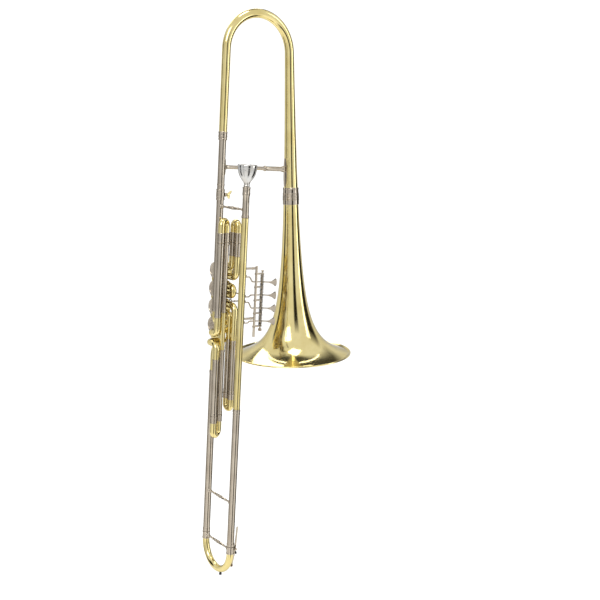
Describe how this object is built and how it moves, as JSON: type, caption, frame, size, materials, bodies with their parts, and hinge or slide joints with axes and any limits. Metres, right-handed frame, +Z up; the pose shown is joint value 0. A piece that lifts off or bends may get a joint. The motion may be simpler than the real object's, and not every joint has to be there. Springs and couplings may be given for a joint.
{
  "type": "valve trombone",
  "caption": "Valve trombone with in-line rotary valves, pull-out tuning slides, finger levers, separate mouthpiece and a fixed bell",
  "frame": {"origin": "on the axis of the left leg, at the height where the left hand holds the valve section", "axes": "+Z up along the two slide legs towards the bell bow, +X from the left leg towards the bell, +Y from the mouthpipe towards the back of the valves"},
  "size_m": [0.33, 0.243, 1.1078],
  "materials": {
    "lacquered_brass": "polished, clear lacquer",
    "nickel_silver": "polished nickel silver",
    "silver_plate": "polished silver plate",
    "spring_steel": "blued spring wire",
    "cork": "matte cork",
    "rubber": "matte"
  },
  "bodies": {
    "instrument": {"mouthpiece_receiver": "nickel_silver", "lead_pipe": "lacquered_brass", "mouthpipe_sleeve": "nickel_silver", "lower_leg": "nickel_silver", "feed_tube": "lacquered_brass", "upper_leg": "nickel_silver", "upper_leg_elbow": "lacquered_brass", "bow_ferrule": "nickel_silver", "bell_bow": "lacquered_brass", "bell_ferrule": "nickel_silver", "bell_throat": "lacquered_brass", "bell_flare": "lacquered_brass", "cross_brace": "nickel_silver", "clamp_collar": "nickel_silver", "receiver_stay": "nickel_silver", "fixed_stay": "nickel_silver", "valve_casing_1": "lacquered_brass", "valve_casing_2": "lacquered_brass", "valve_casing_3": "lacquered_brass", "valve_casing_4": "lacquered_brass", "valve_cap_1": "nickel_silver", "valve_cap_2": "nickel_silver", "valve_cap_3": "nickel_silver", "valve_cap_4": "nickel_silver", "valve_knuckle_1": "lacquered_brass", "valve_knuckle_2": "lacquered_brass", "valve_knuckle_3": "lacquered_brass", "fourth_loop_rear_tube": "nickel_silver", "fourth_loop_front_tube": "nickel_silver", "fourth_loop_lower_tube": "lacquered_brass", "lever_frame": "nickel_silver", "lever_axle": "nickel_silver", "lever_spring_1": "spring_steel", "lever_spring_2": "spring_steel", "lever_spring_3": "spring_steel", "lever_spring_4": "spring_steel"},
    "mouthpiece_body": {"mouthpiece": "silver_plate"},
    "wing_screw_body": {"wing_screw": "lacquered_brass"},
    "tuning_slide": {"main_tuning_slide": "lacquered_brass", "slide_stay": "nickel_silver", "bumper": "rubber"},
    "water_key_body": {"water_key": "nickel_silver", "water_key_cork": "cork"},
    "first_slide": {"first_valve_slide": "lacquered_brass"},
    "second_slide": {"second_valve_slide": "lacquered_brass"},
    "third_slide": {"third_valve_slide": "lacquered_brass"},
    "fourth_upper_slide": {"fourth_valve_upper_slide": "lacquered_brass"},
    "fourth_lower_slide": {"fourth_valve_lower_slide": "lacquered_brass"},
    "lever_body_1": {"lever_1": "nickel_silver"},
    "link_body_1": {"link_1": "nickel_silver"},
    "rotor_body_1": {"rotor_1": "nickel_silver"},
    "lever_body_2": {"lever_2": "nickel_silver"},
    "link_body_2": {"link_2": "nickel_silver"},
    "rotor_body_2": {"rotor_2": "nickel_silver"},
    "lever_body_3": {"lever_3": "nickel_silver"},
    "link_body_3": {"link_3": "nickel_silver"},
    "rotor_body_3": {"rotor_3": "nickel_silver"},
    "lever_body_4": {"lever_4": "nickel_silver"},
    "link_body_4": {"link_4": "nickel_silver"},
    "rotor_body_4": {"rotor_4": "nickel_silver"}
  },
  "joints": [
    {"name": "mouthpiece_pull", "type": "slide", "parent": "instrument", "child": "mouthpiece_body", "axis": [0, 0, 1], "range_m": [0, 0.036]},
    {"name": "main_tuning", "type": "slide", "parent": "instrument", "child": "tuning_slide", "axis": [0, 0, -1], "range_m": [0, 0.1]},
    {"name": "first_slide_pull", "type": "slide", "parent": "instrument", "child": "first_slide", "axis": [0, 0, 1], "range_m": [0, 0.02]},
    {"name": "second_slide_pull", "type": "slide", "parent": "instrument", "child": "second_slide", "axis": [0, -1, 0], "range_m": [0, 0.007]},
    {"name": "third_slide_pull", "type": "slide", "parent": "instrument", "child": "third_slide", "axis": [0, 0, -1], "range_m": [0, 0.02]},
    {"name": "fourth_upper_slide_pull", "type": "slide", "parent": "instrument", "child": "fourth_upper_slide", "axis": [0, 0, 1], "range_m": [0, 0.016]},
    {"name": "fourth_lower_slide_pull", "type": "slide", "parent": "instrument", "child": "fourth_lower_slide", "axis": [0, 0, -1], "range_m": [0, 0.02]},
    {"name": "wing_screw_turn", "type": "hinge", "parent": "instrument", "child": "wing_screw_body", "pos_m": [0.0125, 0, 0.206], "axis": [1, 0, 0], "continuous": true},
    {"name": "water_key_press", "type": "hinge", "parent": "tuning_slide", "child": "water_key_body", "pos_m": [0.0098, -0.092, -0.4805], "axis": [0, -1, 0], "range_deg": [0, 6.5], "stiffness_Nm_per_rad": 0.05, "springref_deg": -17.19},
    {"name": "lever_1_press", "type": "hinge", "parent": "instrument", "child": "lever_body_1", "pos_m": [0.0917, -0.022, 0], "axis": [0, 0, 1], "range_deg": [0, 22.65], "stiffness_Nm_per_rad": 0.12, "springref_deg": -17.19},
    {"name": "link_1_swing", "type": "hinge", "parent": "lever_body_1", "child": "link_body_1", "pos_m": [0.0564, -0.01493, 0.0457], "axis": [0, 0, 1], "range_deg": [-22.66, 0]},
    {"name": "rotor_1_turn", "type": "hinge", "parent": "instrument", "child": "rotor_body_1", "pos_m": [0.026, 0.024, 0.0554], "axis": [1, 0, 0], "range_deg": [-90, 0]},
    {"name": "lever_2_press", "type": "hinge", "parent": "instrument", "child": "lever_body_2", "pos_m": [0.0917, -0.022, 0], "axis": [0, 0, 1], "range_deg": [0, 22.65], "stiffness_Nm_per_rad": 0.12, "springref_deg": -17.19},
    {"name": "link_2_swing", "type": "hinge", "parent": "lever_body_2", "child": "link_body_2", "pos_m": [0.0564, -0.01493, 0.0058], "axis": [0, 0, 1], "range_deg": [-22.66, 0]},
    {"name": "rotor_2_turn", "type": "hinge", "parent": "instrument", "child": "rotor_body_2", "pos_m": [0.026, 0.024, 0.0189], "axis": [1, 0, 0], "range_deg": [-90, 0]},
    {"name": "lever_3_press", "type": "hinge", "parent": "instrument", "child": "lever_body_3", "pos_m": [0.0917, -0.022, 0], "axis": [0, 0, 1], "range_deg": [0, 22.65], "stiffness_Nm_per_rad": 0.12, "springref_deg": -17.19},
    {"name": "link_3_swing", "type": "hinge", "parent": "lever_body_3", "child": "link_body_3", "pos_m": [0.0564, -0.01493, -0.0051], "axis": [0, 0, 1], "range_deg": [-22.66, 0]},
    {"name": "rotor_3_turn", "type": "hinge", "parent": "instrument", "child": "rotor_body_3", "pos_m": [0.026, 0.024, -0.0176], "axis": [1, 0, 0], "range_deg": [0, 90]},
    {"name": "lever_4_press", "type": "hinge", "parent": "instrument", "child": "lever_body_4", "pos_m": [0.0917, -0.022, 0], "axis": [0, 0, 1], "range_deg": [0, 22.65], "stiffness_Nm_per_rad": 0.12, "springref_deg": -17.19},
    {"name": "link_4_swing", "type": "hinge", "parent": "lever_body_4", "child": "link_body_4", "pos_m": [0.0564, -0.01493, -0.0469], "axis": [0, 0, 1], "range_deg": [-22.66, 0]},
    {"name": "rotor_4_turn", "type": "hinge", "parent": "instrument", "child": "rotor_body_4", "pos_m": [0.026, 0.024, -0.0541], "axis": [1, 0, 0], "range_deg": [0, 90]}
  ],
  "couplings": [
    {"joint": "link_1_swing", "follows": "lever_1_press", "ratio": -1},
    {"joint": "rotor_1_turn", "follows": "lever_1_press", "ratio": -3.9726},
    {"joint": "link_2_swing", "follows": "lever_2_press", "ratio": -1},
    {"joint": "rotor_2_turn", "follows": "lever_2_press", "ratio": -3.9726},
    {"joint": "link_3_swing", "follows": "lever_3_press", "ratio": -1},
    {"joint": "rotor_3_turn", "follows": "lever_3_press", "ratio": 3.9726},
    {"joint": "link_4_swing", "follows": "lever_4_press", "ratio": -1},
    {"joint": "rotor_4_turn", "follows": "lever_4_press", "ratio": 3.9726}
  ]
}
